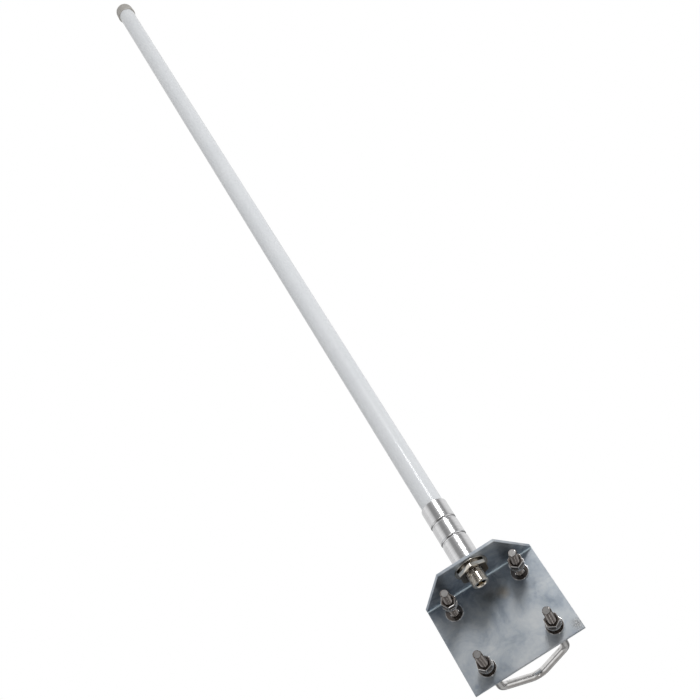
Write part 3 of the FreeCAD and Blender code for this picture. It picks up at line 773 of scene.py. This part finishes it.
def under_flange(distance):
    """Frame on the connector's axis at a distance in mm below the flange, +Z down."""
    return Matrix.Translation((0, 0, (flange_under - distance) * MM)) @ Matrix.Rotation(math.pi, 4, "X")


turned("connector_flat_ring", box_outline(CONNECTOR_BORE, 16.5, 0, WASHER_THICKNESS), "nickel_washer",
       under_flange(0), 0.3, stands_for="connector_flat_washer")
split_washer("connector_split_ring", CONNECTOR_BORE, 12.0, LOCK_WASHER_THICKNESS,
             under_flange(WASHER_THICKNESS), "nickel_washer", stands_for="connector_lock_washer")
# the connector nut takes painted shade on its face only; its flats stay bright
hex_piece("connector_hex", CONNECTOR_FLATS, CONNECTOR_NUT_THICKNESS, 8.0,
          under_flange(WASHER_THICKNESS + LOCK_WASHER_THICKNESS)
          @ Matrix.Rotation(math.radians(CONNECTOR_NUT_TURN), 4, "Z"),
          "nickel", side_shade=0.0, stands_for="connector_nut")


# ---------------------------------------------------------------- carried-over nodes

slots = {part["node"]: part["material_slot"] for part in frame["record"]["subparts"]}
for name, node in nodes.items():
    if not node.hide_render:
        node.data.materials.clear()
        node.data.materials.append(FINISHES[slots[name]])


# ---------------------------------------------------------------- studio, in metres

def set_camera():
    """Camera in front of the bracket and below it, looking up along the antenna."""
    data = bpy.data.cameras.new("camera")
    data.lens = 56.5714
    data.sensor_width = 36
    data.clip_start = 0.01
    data.clip_end = 100
    camera = bpy.data.objects.new("camera", data)
    bpy.context.scene.collection.objects.link(camera)
    camera.location = (0.00912, -0.91250, -0.42068)
    camera.rotation_euler = [math.radians(a) for a in (133.2553, 24.8550, 21.3354)]
    bpy.context.scene.camera = camera


def lay_floor():
    """Pale paper floor; it lights the antenna but doesn't mirror in its metal."""
    half, height = 15, -1.7
    mesh = bpy.data.meshes.new("floor")
    corners = [(-half, -half, 0), (half, -half, 0), (half, half, 0), (-half, half, 0)]
    mesh.from_pydata(corners, [], [(0, 1, 2, 3)])
    mesh.materials.append(
        plain_finish("floor_paper", (0.90, 0.90, 0.90), (0.92, 0.92, 0.92), 0.0, (0.8, 0.9), 2, 40))
    floor = bpy.data.objects.new("floor", mesh)
    bpy.context.scene.collection.objects.link(floor)
    floor.location = (0, 0, height)
    floor.visible_glossy = False


def softbox(name, location, target, width, height, power):
    """Area light aimed at a point, unseen by the camera."""
    light = bpy.data.lights.new(name, "AREA")
    light.energy = power
    light.shape = "RECTANGLE"
    light.size = width
    light.size_y = height
    lamp = bpy.data.objects.new(name, light)
    bpy.context.scene.collection.objects.link(lamp)
    lamp.location = location
    lamp.rotation_euler = (Vector(target) - Vector(location)).to_track_quat("-Z", "Y").to_euler()
    lamp.visible_camera = False
    return lamp


set_camera()
lay_floor()
softbox("key", (0.678, -1.224, 0.826), (0, 0, 0.05), 0.42, 0.40, 6.2)
softbox("kicker", (0.05, -0.59, -1.34), (0, 0, 0), 0.36, 0.36, 0.8)
softbox("strip", (0.1, -0.98, -0.74), (0, 0, 0), 1.0, 0.16, 0.45)
softbox("fill", (1.9, -1.3, -0.6), (0, 0, 0.2), 1.6, 1.6, 9).visible_glossy = False

# Brightness of the studio by bearing in degrees, from -Y towards +X: its walls, and the space below them
WALLS = [
    (-180, 0.80), (-130, 0.70), (-105, 0.64), (-94, 0.80), (-89, 0.52), (-83, 0.86), (-60, 0.78),
    (-45, 0.58), (-33, 0.27), (-12, 0.27), (3, 0.36), (12, 0.50), (45, 0.50), (58, 0.27), (70, 0.30),
    (85, 0.62), (105, 0.78), (180, 0.80),
]
BELOW = [
    (-180, 0.45), (-112, 0.42), (-92, 1.00), (-60, 0.90), (-38, 0.08), (-10, 0.05), (20, 0.10), (38, 0.60),
    (60, 0.90), (92, 1.00), (112, 0.42), (180, 0.45),
]
FLOOR_GLOW = (0.30, 0.29, 0.28)
CEILING = (0.95, 0.95, 0.95)
# Share of it left by the dark band along the horizon, by the height of the direction from -1 to 1
HORIZON = [(-0.34, 1.0), (-0.16, 0.25), (0.08, 0.25), (0.32, 1.0)]


def greys(tree, value, low, high, table):
    """Grey ramp over a value from low to high, from a table of (value, brightness)."""
    return ramp(tree, span(tree, value, 0, 1, low, high),
                [((at - low) / (high - low), (level, level, level)) for at, level in table])


def studio():
    """World lit by bearing, dark round the horizon, and plain white where the camera looks straight at it."""
    world = bpy.data.worlds.new("studio")
    bpy.context.scene.world = world
    world.use_nodes = True
    sky = world.node_tree
    direction = sky.nodes.new("ShaderNodeTexCoord")
    split = sky.nodes.new("ShaderNodeSeparateXYZ")
    sky.links.new(direction.outputs["Generated"], split.inputs["Vector"])
    height = split.outputs["Z"]
    bearing = sky.nodes.new("ShaderNodeMath")
    bearing.operation = "ARCTAN2"
    sky.links.new(split.outputs["X"], bearing.inputs[0])
    sky.links.new(span(sky, split.outputs["Y"], -1, 1, 1, -1), bearing.inputs[1])
    degrees = span(sky, bearing.outputs["Value"], -180, 180, -math.pi, math.pi)
    below, walls = (greys(sky, degrees, -180, 180, table) for table in (BELOW, WALLS))
    below = mix(sky, span(sky, height, 0, 1, -0.85, -0.5), FLOOR_GLOW, below)
    seen = mix(sky, span(sky, height, 0, 1, -0.15, 0.05), below, walls)
    seen = mix(sky, 1.0, seen, greys(sky, height, -1, 1, HORIZON), "MULTIPLY")
    seen = mix(sky, span(sky, height, 0, 1, 0.7, 0.95), seen, CEILING)
    path = sky.nodes.new("ShaderNodeLightPath")
    seen = mix(sky, path.outputs["Is Camera Ray"], seen, (1.0, 1.0, 1.0))
    sky.links.new(seen, sky.nodes["Background"].inputs["Color"])


studio()
bpy.context.scene.view_settings.view_transform = "Standard"
